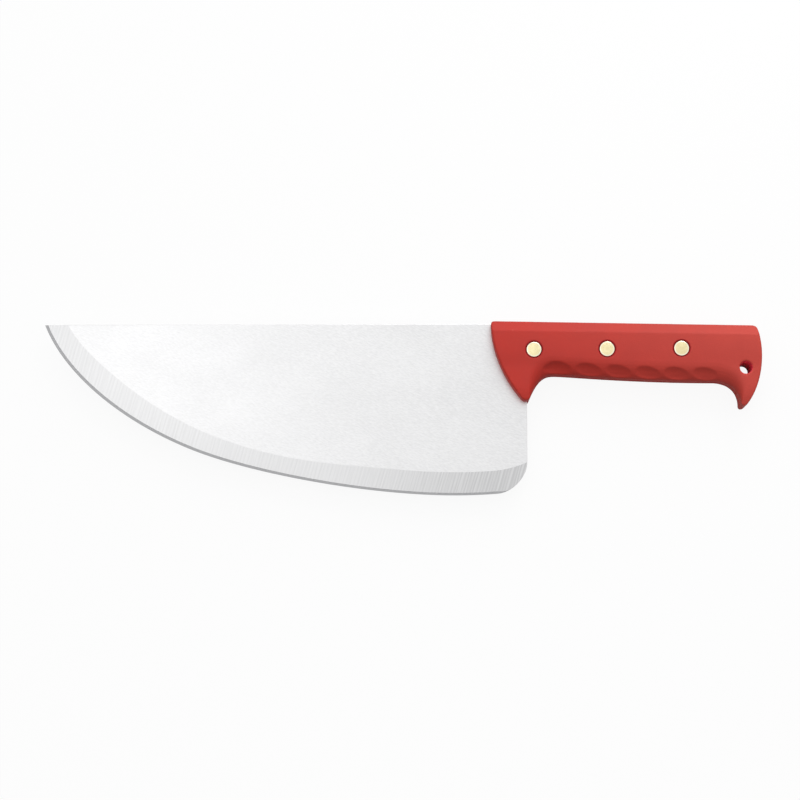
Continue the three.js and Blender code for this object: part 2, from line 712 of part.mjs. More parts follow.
const scaleGeometry = makeScaleGeometry(stations);
const leftScale = named('left_scale', scaleGeometry, plastic);
const rightScale = named('right_scale', scaleGeometry, plastic);
rightScale.scale.z = -1;
knife.add(leftScale, rightScale);

rivetPlaces().forEach((place, i) => knife.add(makeRivet(RIVET_NAMES[i], place)));

const box = new THREE.Box3().setFromObject(knife, true);
const middle = box.getCenter(new THREE.Vector3());
knife.position.set(-middle.x, -middle.y, -box.min.z);

export default knife;
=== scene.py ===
"""A butcher's knife on a pale floor: a ground steel blade, a moulded red handle and brass rivets."""

from __future__ import annotations

import json
import logging
import math
from collections.abc import Callable, Iterator, Sequence
from contextlib import contextmanager
from dataclasses import dataclass
from enum import Enum
from typing import Any, Union

import bmesh
import bpy
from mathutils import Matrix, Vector

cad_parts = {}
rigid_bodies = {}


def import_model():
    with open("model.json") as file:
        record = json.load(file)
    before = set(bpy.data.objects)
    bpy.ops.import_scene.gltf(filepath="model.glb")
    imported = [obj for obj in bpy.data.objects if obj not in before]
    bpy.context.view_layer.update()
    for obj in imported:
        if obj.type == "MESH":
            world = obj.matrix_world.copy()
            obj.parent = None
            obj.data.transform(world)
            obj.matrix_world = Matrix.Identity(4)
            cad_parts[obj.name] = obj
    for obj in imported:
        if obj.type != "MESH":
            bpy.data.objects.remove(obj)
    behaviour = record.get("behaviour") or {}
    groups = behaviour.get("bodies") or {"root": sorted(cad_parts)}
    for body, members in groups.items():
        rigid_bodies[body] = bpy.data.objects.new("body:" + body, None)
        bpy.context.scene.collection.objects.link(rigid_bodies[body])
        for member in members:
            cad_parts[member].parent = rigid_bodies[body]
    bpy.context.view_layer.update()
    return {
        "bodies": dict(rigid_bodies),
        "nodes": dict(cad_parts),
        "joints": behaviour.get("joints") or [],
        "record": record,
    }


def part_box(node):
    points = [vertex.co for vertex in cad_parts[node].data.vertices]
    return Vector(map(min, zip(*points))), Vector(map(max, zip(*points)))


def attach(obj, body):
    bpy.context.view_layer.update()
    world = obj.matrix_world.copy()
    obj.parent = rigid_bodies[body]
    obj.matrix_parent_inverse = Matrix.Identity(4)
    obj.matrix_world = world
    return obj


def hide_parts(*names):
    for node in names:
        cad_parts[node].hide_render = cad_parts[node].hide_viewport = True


LOG = logging.getLogger("butcher_knife")
MM = 0.001
SAME_SPOT = 0.002 * MM
SAME_HEIGHT = 0.01 * MM
BODY = "root"
HANGING_HOLE = "hanging_hole"
FINGER_GAP = "finger_gap"

Colour = tuple[float, float, float]
Place = tuple[float, float, float]
Spot = tuple[float, float]
Number = Union["Signal", float]


class Side(Enum):
    """The two sides of the knife, by the node of the scale on each."""

    LEFT = "left_scale"
    RIGHT = "right_scale"


class RivetPlace(Enum):
    """The three rivets along the tang."""

    FRONT = "front"
    MIDDLE = "middle"
    REAR = "rear"


class RivetHalf(Enum):
    """The two halves of a cutler's rivet."""

    STEM = "rivet_stem"
    SOCKET = "rivet_socket"


class Region(Enum):
    """The regions of the blade, by the number of their finish."""

    FLAT = 0
    BEVEL = 1
    HONED = 2
    WALL = 3


# How much darker each rivet's brass is: none at the front, most at the rear.
RIVET_DARKENING = {RivetPlace.FRONT: 0.0, RivetPlace.MIDDLE: 0.1, RivetPlace.REAR: 0.5}


class Signal:
    """A number that varies over a surface, with arithmetic that adds Math nodes."""

    def __init__(self, graph: Graph, socket: bpy.types.NodeSocket) -> None:
        """Wraps an output socket of one of a graph's nodes.

        Args:
            graph: The graph that the socket belongs to.
            socket: The output socket.
        """
        self.graph = graph
        self.socket = socket

    def __add__(self, other: Number) -> Signal:
        """This number plus another."""
        return self.graph.math("ADD", self, other)

    def __radd__(self, other: Number) -> Signal:
        """Another number plus this one."""
        return self.graph.math("ADD", other, self)

    def __sub__(self, other: Number) -> Signal:
        """This number less another."""
        return self.graph.math("SUBTRACT", self, other)

    def __rsub__(self, other: Number) -> Signal:
        """Another number less this one."""
        return self.graph.math("SUBTRACT", other, self)

    def __mul__(self, other: Number) -> Signal:
        """This number times another."""
        return self.graph.math("MULTIPLY", self, other)

    def __rmul__(self, other: Number) -> Signal:
        """Another number times this one."""
        return self.graph.math("MULTIPLY", other, self)


class Graph:
    """The node tree of one material or of the world."""

    def __init__(self, tree: bpy.types.NodeTree) -> None:
        """Empties a node tree, to build it anew.

        Args:
            tree: The node tree.
        """
        self.tree = tree
        tree.nodes.clear()

    def node(
        self,
        kind: str,
        settings: dict[str, Any] | None = None,
        inputs: dict[str | int, Any] | None = None,
    ) -> bpy.types.Node:
        """Adds a node.

        Args:
            kind: The node's type.
            settings: The node's own settings, which are set first.
            inputs: A value or a link for each input socket, by its name or number.

        Returns:
            The node.
        """
        made = self.tree.nodes.new(kind)
        for name, value in (settings or {}).items():
            setattr(made, name, value)
        for key, value in (inputs or {}).items():
            socket = made.inputs[key]
            if isinstance(value, Signal):
                self.tree.links.new(value.socket, socket)
            elif isinstance(value, bpy.types.NodeSocket):
                self.tree.links.new(value, socket)
            else:
                socket.default_value = value
        return made

    def math(self, operation: str, *values: Number) -> Signal:
        """Adds a Math node.

        Args:
            operation: The Math node's operation.
            values: Its inputs, in order.

        Returns:
            The node's result.
        """
        made = self.node("ShaderNodeMath", {"operation": operation}, dict(enumerate(values)))
        return Signal(self, made.outputs[0])

    def place(self) -> tuple[Signal, Signal, Signal]:
        """The place on the object in millimetres, as x, y and z."""
        where = self.node("ShaderNodeTexCoord").outputs["Object"]
        scaled = self.node("ShaderNodeVectorMath", {"operation": "SCALE"}, {0: where, "Scale": 1 / MM})
        parts = self.node("ShaderNodeSeparateXYZ", inputs={0: scaled.outputs[0]})
        x, y, z = (Signal(self, socket) for socket in parts.outputs)
        return x, y, z

    def noise(
        self,
        across: tuple[Number, Number, Number],
        detail: float = 2.0,
        roughness: float = 0.5,
    ) -> Signal:
        """Adds a Noise Texture.

        Args:
            across: Its coordinates, one unit to a feature.
            detail: How many finer layers it has.
            roughness: How strong the finer layers are.

        Returns:
            The noise, mostly from 0.25 to 0.75.
        """
        vector = self.node("ShaderNodeCombineXYZ", inputs=dict(enumerate(across))).outputs[0]
        inputs = {"Vector": vector, "Scale": 1.0, "Detail": detail, "Roughness": roughness}
        made = self.node("ShaderNodeTexNoise", {"noise_dimensions": "3D"}, inputs)
        return Signal(self, made.outputs[0])

    def step(self, value: Number, low: float, high: float) -> Signal:
        """Adds a smooth step.

        Args:
            value: The number that steps.
            low: Where the result is 0.
            high: Where the result is 1.

        Returns:
            The step, from 0 to 1.
        """
        settings = {"interpolation_type": "SMOOTHSTEP"}
        inputs = {"Value": value, "From Min": low, "From Max": high}
        made = self.node("ShaderNodeMapRange", settings, inputs)
        return Signal(self, made.outputs[0])

    def mix(self, share: Number, first: Any, second: Any) -> bpy.types.NodeSocket:
        """Mixes two colours.

        Args:
            share: How much of the second colour there is.
            first: A colour or a link to one.
            second: A colour or a link to one.

        Returns:
            The mixed colour.
        """
        ends = [(*end, 1.0) if isinstance(end, tuple) else end for end in (first, second)]
        settings = {"data_type": "RGBA", "clamp_factor": True}
        made = self.node("ShaderNodeMix", settings, {0: share, 6: ends[0], 7: ends[1]})
        return made.outputs[2]

    def bump(self, height: Signal, depth: float, strength: float = 1.0) -> bpy.types.NodeSocket:
        """Turns a height into a normal.

        Args:
            height: The height, from 0 to 1.
            depth: How deep a height of 1 is, in metres.
            strength: How much of it shows.

        Returns:
            The normal.
        """
        inputs = {"Height": height, "Distance": depth, "Strength": strength}
        return self.node("ShaderNodeBump", inputs=inputs).outputs[0]

    def radius(self, x: Signal, y: Signal, axis: Spot) -> Signal:
        """The distance from an upright axis.

        Args:
            x: The place in x, in millimetres.
            y: The place in y, in millimetres.
            axis: Where the axis is in x and y, in metres.

        Returns:
            The distance, in millimetres.
        """
        from_x = x - axis[0] / MM
        from_y = y - axis[1] / MM
        return self.math("SQRT", from_x * from_x + from_y * from_y)

    def seen(self) -> tuple[Signal, Signal]:
        """How a surface or the room is seen.

        Returns:
            1 where the camera sees it, and 1 where it is seen mirrored or through something.
        """
        path = self.node("ShaderNodeLightPath")
        names = ("Is Camera Ray", "Is Glossy Ray", "Is Transmission Ray")
        direct, glossy, through = (Signal(self, path.outputs[name]) for name in names)
        return direct, self.math("MAXIMUM", glossy, through)

    def surface(self, inputs: dict[str | int, Any]) -> None:
        """Adds a Principled shader and the material's output.

        Args:
            inputs: A value or a link for each of the shader's sockets.
        """
        shader = self.node("ShaderNodeBsdfPrincipled", inputs=inputs)
        self.node("ShaderNodeOutputMaterial", inputs={"Surface": shader.outputs[0]})


def middle_of(box: Sequence[Sequence[float]]) -> Spot:
    """The middle of a box in x and y.

    Args:
        box: Its lowest and highest corners.

    Returns:
        The middle.
    """
    low, high = box
    return (low[0] + high[0]) / 2, (low[1] + high[1]) / 2


def along(stops: Sequence[Spot], place: float) -> float:
    """Reads a broken line.

    Args:
        stops: Its corners in order, as place and value.
        place: Where it is read.

    Returns:
        The value there, which stays level beyond both ends.
    """
    for (start, first), (end, last) in zip(stops, stops[1:]):
        if place < end:
            share = max(0.0, (place - start) / (end - start))
            return first + (last - first) * share
    return stops[-1][1]


def new_material(name: str) -> tuple[bpy.types.Material, Graph]:
    """Makes an empty material.

    Args:
        name: The material's name.

    Returns:
        The material and its graph.
    """
    material = bpy.data.materials.new(name)
    material.use_nodes = True
    return material, Graph(material.node_tree)


@dataclass(frozen=True)
class SatinSteel:
    """The finish of the blade's flat: short fine grain that slants down towards the heel."""

    name: str = "satin_steel"
    pale: Colour = (0.86, 0.86, 0.865)
    grey: Colour = (0.73, 0.73, 0.735)
    slant: float = math.radians(20.0)
    roughness: float = 0.34

    def material(self) -> bpy.types.Material:
        """Makes the material."""
        material, graph = new_material(self.name)
        x, y, z = graph.place()
        lengthwise = x * math.cos(self.slant) - y * math.sin(self.slant)
        across = x * math.sin(self.slant) + y * math.cos(self.slant)
        grain = graph.noise((lengthwise * 0.5, across * 2.0, z), detail=2.0, roughness=0.6)
        hair = graph.noise((lengthwise * 0.6, across * 7.0, z), detail=2.0)
        clouds = graph.noise((x * 0.03, y * 0.05, z * 0.05), detail=2.0)
        tone = grain * 0.5 + hair * 0.3 + clouds * 0.2
        colour = graph.mix(graph.step(tone, 0.3, 0.7), self.grey, self.pale)
        graph.surface({
            "Base Color": colour,
            "Metallic": 1.0,
            "Roughness": self.roughness + (grain - 0.5) * 0.08 + (hair - 0.5) * 0.1,
            "Normal": graph.bump(hair, 0.00001, 0.5),
        })
        return material


@dataclass(frozen=True)
class GroundSteel:
    """The finish of the ground bevel: steep grind lines that lean towards the handle."""

    name: str = "ground_steel"
    pale: Colour = (0.87, 0.87, 0.875)
    grey: Colour = (0.605, 0.605, 0.61)
    lean: float = math.radians(16.3)
    heel: float = 76.0
    taper: float = 130.0
    tip: float = -175.0
    tip_taper: float = 80.0
    wide_spacing: float = 1.9
    close_spacing: float = 1.6
    roughness: float = 0.36

    def material(self) -> bpy.types.Material:
        """Makes the material."""
        material, graph = new_material(self.name)
        x, y, z = graph.place()
        across = x * math.cos(self.lean) - y * math.sin(self.lean)
        lengthwise = x * math.sin(self.lean) + y * math.cos(self.lean)
        drift = graph.noise((across * 0.5, lengthwise * 0.02, z * 0.1), detail=2.0) * 9.0
        swing = graph.noise((across * 0.6, lengthwise * 0.03, z * 0.1), detail=1.0)
        swing = graph.step(swing, 0.3, 0.7)
        wide = graph.math("SINE", across * (math.tau / self.wide_spacing) + drift)
        close = graph.math("SINE", across * (math.tau / self.close_spacing) + drift)
        fine = graph.noise((across * 3.5, lengthwise * 0.08, z * 0.1), detail=4.0, roughness=0.7)
        near_heel = graph.step(x, self.heel - self.taper, self.heel)
        near_tip = 1.0 - graph.step(x, self.tip, self.tip + self.tip_taper)
        strong = wide * 0.08 * (1.0 - near_heel) + close * 0.24 * near_heel
        lines = (fine - 0.5) * 0.8 + strong * (swing + 0.4) + 0.5
        # Painted shade: the bevel is darker towards the heel and a little darker at the tip; the closer,
        # stronger grind lines near the heel are the steel's own.
        paleness = lines + 0.2 - near_heel * 0.64 - near_tip * 0.13
        colour = graph.mix(paleness, self.grey, self.pale)
        graph.surface({
            "Base Color": colour,
            "Metallic": 1.0,
            "Roughness": self.roughness + (fine - 0.5) * 0.16,
            "Normal": graph.bump(lines, 0.00003, 0.6),
        })
        return material


@dataclass(frozen=True)
class HonedEdge:
    """The finish of the narrow honed facet along the cutting edge, darker than the steel itself as
    painted shade.
    """

    name: str = "honed_edge"
    # Both colours are darker than the blade's steel: painted shade for the steep facet.
    pale: Colour = (0.51, 0.51, 0.52)
    grey: Colour = (0.38, 0.38, 0.39)
    roughness: float = 0.28

    def material(self) -> bpy.types.Material:
        """Makes the material."""
        material, graph = new_material(self.name)
        x, y, z = graph.place()
        strokes = graph.noise((x * 3.0, y * 3.0, z), detail=3.0)
        colour = graph.mix(graph.step(strokes, 0.3, 0.7), self.grey, self.pale)
        graph.surface({
            "Base Color": colour,
            "Metallic": 1.0,
            "Roughness": self.roughness + (strokes - 0.5) * 0.15,
            "Normal": graph.bump(strokes, 0.00001, 0.4),
        })
        return material


@dataclass(frozen=True)
class SpineSteel:
    """The finish of the plate's narrow walls: ground across their thickness."""

    name: str = "spine_steel"
    pale: Colour = (0.90, 0.90, 0.905)
    grey: Colour = (0.75, 0.75, 0.755)
    roughness: float = 0.4

    def material(self) -> bpy.types.Material:
        """Makes the material."""
        material, graph = new_material(self.name)
        x, y, z = graph.place()
        lines = graph.noise((x * 4.0, y * 4.0, z * 0.1), detail=4.0, roughness=0.7)
        colour = graph.mix(graph.step(lines, 0.25, 0.75), self.grey, self.pale)
        graph.surface({
            "Base Color": colour,
            "Metallic": 1.0,
            "Roughness": self.roughness + (lines - 0.5) * 0.2,
            "Normal": graph.bump(lines, 0.00002, 0.5),
        })
        return material


@dataclass(frozen=True)
class MouldedPlastic:
    """The finish of the handle: red plastic with a satin skin and rubbed edges, with painted light that
    makes it paler towards the butt.
    """

    rivets: tuple[Spot, ...]
    hole: Spot
    name: str = "moulded_plastic"
    # Painted light and painted sheen: darker and redder at the guard end, paler and less saturated at
    # the butt end.
    shaded_guard_end: Colour = (0.545, 0.020, 0.009)
    lit_butt_end: Colour = (0.61, 0.056, 0.037)
    shade: Colour = (0.38, 0.018, 0.010)
    rubbed: Colour = (0.64, 0.060, 0.040)
    # Painted shade: a dark ring round each rivet head, where the gap round the head lies in shade.
    rivet_gap_shade: Colour = (0.42, 0.006, 0.007)
    # Painted light: the hanging hole's wall is paler and pinker, as if lit from below.
    lit_hole_wall: Colour = (0.84, 0.06, 0.11)
    gap_shade_from: float = 4.5
    gap_shade_to: float = 5.3
    wall_from: float = 3.3
    wall_to: float = 3.55
    light_ramp_from: float = 25.0
    light_ramp_to: float = 220.0
    roughness: float = 0.64
    gloss: float = 0.48

    def material(self) -> bpy.types.Material:
        """Makes the material."""
        material, graph = new_material(self.name)
        x, y, z = graph.place()
        clouds = graph.noise((x * 0.06, y * 0.06, z * 0.06), detail=3.0)
        skin = graph.noise((x * 1.4, y * 1.4, z * 1.4), detail=4.0, roughness=0.65)
        tone = clouds * 0.6 + skin * 0.4
        # Painted light: the colour runs from the darker guard end to the paler, sheened butt end.
        colour = graph.mix(graph.step(x, self.light_ramp_from, self.light_ramp_to), self.shaded_guard_end, self.lit_butt_end)
        colour = graph.mix(graph.step(tone, 0.7, 0.3) * 0.3, colour, self.shade)
        sharp = Signal(graph, graph.node("ShaderNodeNewGeometry").outputs["Pointiness"])
        rub = graph.step(sharp, 0.52, 0.60) * graph.step(skin + clouds, 0.7, 1.2)
        colour = graph.mix(rub * 0.5, colour, self.rubbed)
        # Painted shade round each rivet head, for the shaded gap there.
        for rivet in self.rivets:
            ring = 1.0 - graph.step(graph.radius(x, y, rivet), self.gap_shade_from, self.gap_shade_to)
            colour = graph.mix(ring, colour, self.rivet_gap_shade)
        # Painted light on the hanging hole's wall.
        wall = 1.0 - graph.step(graph.radius(x, y, self.hole), self.wall_from, self.wall_to)
        colour = graph.mix(wall, colour, self.lit_hole_wall)
        graph.surface({
            "Base Color": colour,
            "Roughness": self.roughness + (skin - 0.5) * 0.2 + (clouds - 0.5) * 0.1 - rub * 0.08,
            "Specular IOR Level": self.gloss,
            "Normal": graph.bump(skin, 0.00008, 0.8),
        })
        return material


@dataclass(frozen=True)
class RivetBrass:
    """The finish of one rivet: pale brass with faint turning lines round its axis."""

    name: str
    axis: Spot
    darkening: float = 0.0
    pale: Colour = (1.0, 0.90, 0.55)
    deep: Colour = (0.86, 0.74, 0.43)
    # The rim's colour is a painted highlight, paler than the brass itself.
    rim: Colour = (1.0, 0.95, 0.74)
    rim_from: float = 3.1
    rim_to: float = 3.5
    roughness: float = 0.3

    def material(self) -> bpy.types.Material:
        """Makes the material."""
        material, graph = new_material(self.name)
        x, y, z = graph.place()
        radius = graph.radius(x, y, self.axis)
        rings = graph.noise((radius * 5.0, z * 0.5, 0.0), detail=2.0)
        tarnish = graph.noise((x * 0.5, y * 0.5, z * 0.5), detail=3.0)
        tone = rings * 0.5 + tarnish * 0.5
        colour = graph.mix(graph.step(tone, 0.3, 0.65) - self.darkening, self.deep, self.pale)
        # Painted highlight: paler and a little smoother towards the rim of the head.
        rim_highlight = graph.step(radius, self.rim_from, self.rim_to)
        graph.surface({
            "Base Color": graph.mix(rim_highlight, colour, self.rim),
            "Metallic": 1.0,
            "Roughness": self.roughness + (rings - 0.5) * 0.2 + (tarnish - 0.5) * 0.1 - rim_highlight * 0.06,
            "Normal": graph.bump(rings, 0.00002, 0.5),
        })
        return material


@dataclass(frozen=True)
class PaleFloor:
    """The floor: seen as white with the knife's own soft shadow, and dim as a light from below."""

    name: str = "pale_floor"
    white: Colour = (0.96, 0.96, 0.96)
    dim: Colour = (0.35, 0.35, 0.35)
    glow_share: float = 0.92
    mirror_share: float = 0.1

    def material(self) -> bpy.types.Material:
        """Makes the material."""
        material, graph = new_material(self.name)
        x, y, z = graph.place()
        fibre = graph.noise((x * 0.02, y * 0.02, z), detail=4.0)
        direct, mirrored = graph.seen()
        seen = graph.math("MAXIMUM", direct, mirrored)
        share = graph.math("MAXIMUM", direct * self.glow_share, mirrored * self.mirror_share)
        shown = graph.mix(fibre, self.white, tuple(part * 0.985 for part in self.white))
        matt = graph.node("ShaderNodeBsdfDiffuse", inputs={"Color": graph.mix(seen, self.dim, shown)})
        glow = graph.node("ShaderNodeEmission", inputs={"Color": (1.0, 1.0, 1.0, 1.0), "Strength": 1.0})
        inputs = {0: share, 1: matt.outputs[0], 2: glow.outputs[0]}
        mixed = graph.node("ShaderNodeMixShader", inputs=inputs)
        graph.node("ShaderNodeOutputMaterial", inputs={"Surface": mixed.outputs[0]})
        return material


class Bench:
    """Modelling by hand: select, edit, finish."""

    @staticmethod
    def deselect() -> None:
        """Deselects every object."""
        bpy.ops.object.select_all(action="DESELECT")

    @staticmethod
    def hold(piece: bpy.types.Object) -> None:
        """Selects one object alone and makes it active."""
        Bench.deselect()
        piece.select_set(True)
        bpy.context.view_layer.objects.active = piece

    @staticmethod
    @contextmanager
    def editing(piece: bpy.types.Object) -> Iterator[None]:
        """Opens a piece in edit mode.

        Args:
            piece: The piece.
        """
        Bench.hold(piece)
        bpy.ops.object.mode_set(mode="EDIT")
        try:
            yield
        finally:
            bpy.ops.object.mode_set(mode="OBJECT")

    @staticmethod
    def pick_faces(piece: bpy.types.Object, wanted: Callable[[bmesh.types.BMFace], bool]) -> None:
        """Selects the faces that pass a test, in edit mode.

        Args:
            piece: The piece that is open in edit mode.
            wanted: The test.
        """
        bpy.ops.mesh.select_mode(type="FACE")
        bpy.ops.mesh.select_all(action="DESELECT")
        shape = bmesh.from_edit_mesh(piece.data)
        for face in shape.faces:
            if wanted(face):
                face.select_set(True)
        bmesh.update_edit_mesh(piece.data)

    @staticmethod
    def pick_edges(piece: bpy.types.Object, wanted: Callable[[bmesh.types.BMEdge], bool]) -> None:
        """Selects the edges that pass a test, in edit mode.

        Args:
            piece: The piece that is open in edit mode.
            wanted: The test.
        """
        bpy.ops.mesh.select_mode(type="EDGE")
        bpy.ops.mesh.select_all(action="DESELECT")
        shape = bmesh.from_edit_mesh(piece.data)
        for edge in shape.edges:
            if wanted(edge):
                edge.select_set(True)
        bmesh.update_edit_mesh(piece.data)

    @staticmethod
    def copy_of(node: bpy.types.Object, name: str) -> bpy.types.Object:
        """Copies a node's mesh into a new piece and joins its loose triangles.

        Args:
            node: The node.
            name: The new piece's name.

        Returns:
            The new piece.
        """
        piece = bpy.data.objects.new(name, node.data.copy())
        piece.data.materials.clear()
        bpy.context.scene.collection.objects.link(piece)
        Bench.hold(piece)
        bpy.ops.mesh.customdata_custom_splitnormals_clear()
        with Bench.editing(piece):
            bpy.ops.mesh.select_all(action="SELECT")
            bpy.ops.mesh.remove_doubles(threshold=SAME_SPOT)
        return piece

    @staticmethod
    def apply(piece: bpy.types.Object, kind: str, settings: dict[str, Any]) -> None:
        """Adds a modifier to a piece and applies it.

        Args:
            piece: The piece.
            kind: The modifier's type.
            settings: The modifier's settings.
        """
        Bench.hold(piece)
        modifier = piece.modifiers.new(kind.lower(), kind)
        for name, value in settings.items():
            setattr(modifier, name, value)
        bpy.ops.object.modifier_apply(modifier=modifier.name)

    @staticmethod
    def hand_over(piece: bpy.types.Object, node: str, slot: str) -> None:
        """Puts a finished piece in the place of a node.

        Args:
            piece: The finished piece.
            node: The node that it stands for.
            slot: The record's material slot of its finish. It is not used.
        """
        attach(piece, BODY)
        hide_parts(node)
        LOG.info("%s: %d faces", piece.name, len(piece.data.polygons))


@dataclass
class Blade:
    """The plate: blade and tang in one piece of steel."""

    node: str = "blade"
    slot: str = "blade_steel"
    edge_break: float = 0.2 * MM
    thinnest_wall: float = 0.9 * MM
    crease: float = math.radians(2.5)
    flat_tilt: float = math.radians(1.0)
    bevel_tilt: float = math.radians(9.5)
    honed_tilt: float = math.radians(30.0)
    wall_tilt: float = math.radians(80.0)
    level: float = math.radians(0.05)

    def build(self, frame: dict[str, Any]) -> bpy.types.Object:
        """Builds and dresses the blade.

        Args:
            frame: The loaded frame.

        Returns:
            The blade.
        """
        piece = Bench.copy_of(frame["nodes"][self.node], "steel_blade")
        low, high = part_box(self.node)
        middle = (low.z + high.z) / 2
        with Bench.editing(piece):
            Bench.pick_faces(piece, lambda face: self._tilt(face.normal) < self.flat_tilt)
            bpy.ops.mesh.dissolve_limited(angle_limit=self.level)
            Bench.pick_edges(piece, lambda edge: self._is_arris(edge, middle))
            bpy.ops.mesh.bevel(offset=self.edge_break, segments=2, affect="EDGES", clamp_overlap=False)
        self._dress(piece, middle)
        Bench.hand_over(piece, self.node, self.slot)
        return piece

    def _tilt(self, normal: Vector) -> float:
        """The angle between a normal and the knife's own side direction."""
        return math.acos(min(1.0, abs(normal.z)))

    def _is_arris(self, edge: bmesh.types.BMEdge, middle: float) -> bool:
        """Tests whether an edge is a corner between a side of the plate and its wall.

        Args:
            edge: The edge.
            middle: The height of the plate's middle plane.

        Returns:
            Whether the edge is such a corner, where the wall is thick enough to break it.
        """
        if len(edge.link_faces) != 2:
            return False
        tilts = sorted(self._tilt(face.normal) for face in edge.link_faces)
        thick = all(abs(vert.co.z - middle) > self.thinnest_wall for vert in edge.verts)
        return thick and tilts[0] < self.bevel_tilt and tilts[1] > self.wall_tilt

    def _region(self, face: bpy.types.MeshPolygon, middle: float) -> Region:
        """Tells which region of the blade a face belongs to.

        Args:
            face: The face.
            middle: The height of the plate's middle plane.

        Returns:
            The region.
        """
        tilt = self._tilt(face.normal)
        if tilt < self.flat_tilt:
            return Region.FLAT
        if tilt < self.bevel_tilt:
            return Region.BEVEL
        thin = abs(face.center.z - middle) < self.thinnest_wall
        return Region.HONED if thin and tilt < self.honed_tilt else Region.WALL

    def _dress(self, piece: bpy.types.Object, middle: float) -> None:
        """Gives each region of the blade its finish.

        Args:
            piece: The blade.
            middle: The height of the plate's middle plane.
        """
        for finish in (SatinSteel(), GroundSteel(), HonedEdge(), SpineSteel()):
            piece.data.materials.append(finish.material())
        for face in piece.data.polygons:
            face.material_index = self._region(face, middle).value
        Bench.hold(piece)
        bpy.ops.object.shade_smooth_by_angle(angle=self.crease)


